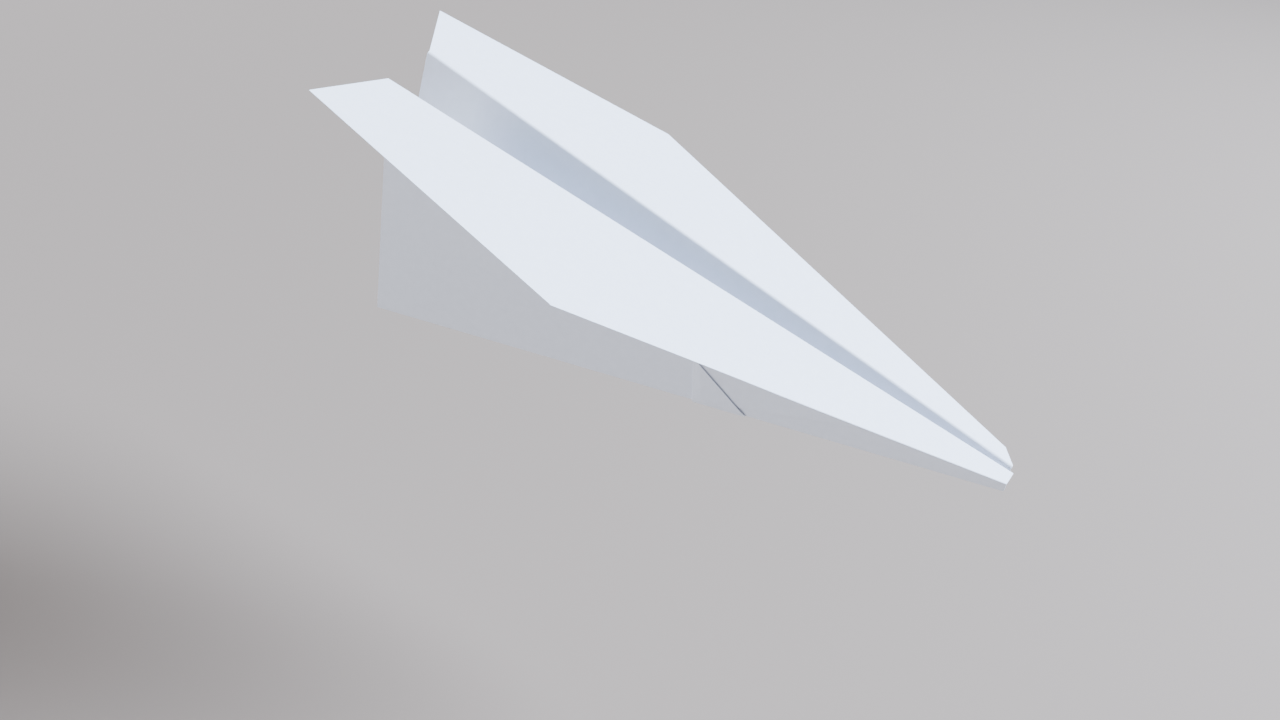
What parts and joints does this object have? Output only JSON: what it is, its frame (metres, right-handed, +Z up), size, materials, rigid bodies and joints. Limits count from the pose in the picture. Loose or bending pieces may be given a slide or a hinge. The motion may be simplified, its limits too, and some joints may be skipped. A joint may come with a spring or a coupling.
{
  "type": "paper airplane",
  "caption": "Folded paper airplane: a V-shaped fuselage, swept wings folded out along sloping creases, a blunt nose and a small folded triangle that locks the flaps at the keel.",
  "frame": {"origin": "centre of the bounding box's footprint, level with the lowest point of the keel fold", "axes": "nose towards -Y, +Z up, X across the wings with the plane's left wing on +X; the keel fold runs along Y"},
  "size_m": [0.1346, 0.1934, 0.0769],
  "materials": {
    "paper": "matt white uncoated office paper"
  },
  "bodies": {
    "left_side": {"left_side_sheet": "paper", "left_side_tuck": "paper", "left_side_apex": "paper", "left_side_flap_apex": "paper", "left_side_flap_tuck": "paper", "left_side_flap": "paper", "left_side_nose_fold": "paper", "left_side_flap_fold": "paper", "left_lock_inner": "paper", "left_lock_outer": "paper", "left_lock_fold": "paper", "left_wing_crease": "paper", "left_wing_crease_layers": "paper", "keel_fold_sheet": "paper", "keel_fold_apex": "paper", "keel_fold_lock": "paper"},
    "right_side": {"right_side_sheet": "paper", "right_side_tuck": "paper", "right_side_apex": "paper", "right_side_flap_apex": "paper", "right_side_flap_tuck": "paper", "right_side_flap": "paper", "right_side_nose_fold": "paper", "right_side_flap_fold": "paper", "right_lock_inner": "paper", "right_lock_outer": "paper", "right_lock_fold": "paper", "right_wing_crease": "paper", "right_wing_crease_layers": "paper"},
    "left_wing": {"left_wing_sheet": "paper", "left_wing_tuck": "paper", "left_wing_apex": "paper", "left_wing_flap_apex": "paper", "left_wing_flap_tuck": "paper", "left_wing_flap": "paper", "left_wing_nose_fold": "paper", "left_wing_flap_fold": "paper", "left_leading_edge_fold": "paper"},
    "right_wing": {"right_wing_sheet": "paper", "right_wing_tuck": "paper", "right_wing_apex": "paper", "right_wing_flap_apex": "paper", "right_wing_flap_tuck": "paper", "right_wing_flap": "paper", "right_wing_nose_fold": "paper", "right_wing_flap_fold": "paper", "right_leading_edge_fold": "paper"}
  },
  "joints": [
    {"name": "keel_hinge", "type": "hinge", "parent": "left_side", "child": "right_side", "pos_m": [0, 0, 0.0009], "axis": [0, -1, 0], "range_deg": [-20, 98], "stiffness_Nm_per_rad": 0.03, "deforming": ["keel_fold_sheet", "keel_fold_apex", "keel_fold_lock"]},
    {"name": "left_wing_hinge", "type": "hinge", "parent": "left_side", "child": "left_wing", "pos_m": [0.00876, -0.00391, 0.0402], "axis": [-0.0654, -0.9394, -0.3365], "range_deg": [-70, 76], "stiffness_Nm_per_rad": 0.03, "deforming": ["left_wing_crease", "left_wing_crease_layers"]},
    {"name": "right_wing_hinge", "type": "hinge", "parent": "right_side", "child": "right_wing", "pos_m": [-0.00876, -0.00391, 0.0402], "axis": [-0.0654, 0.9394, 0.3365], "range_deg": [-70, 76], "stiffness_Nm_per_rad": 0.03, "deforming": ["right_wing_crease", "right_wing_crease_layers"]}
  ]
}
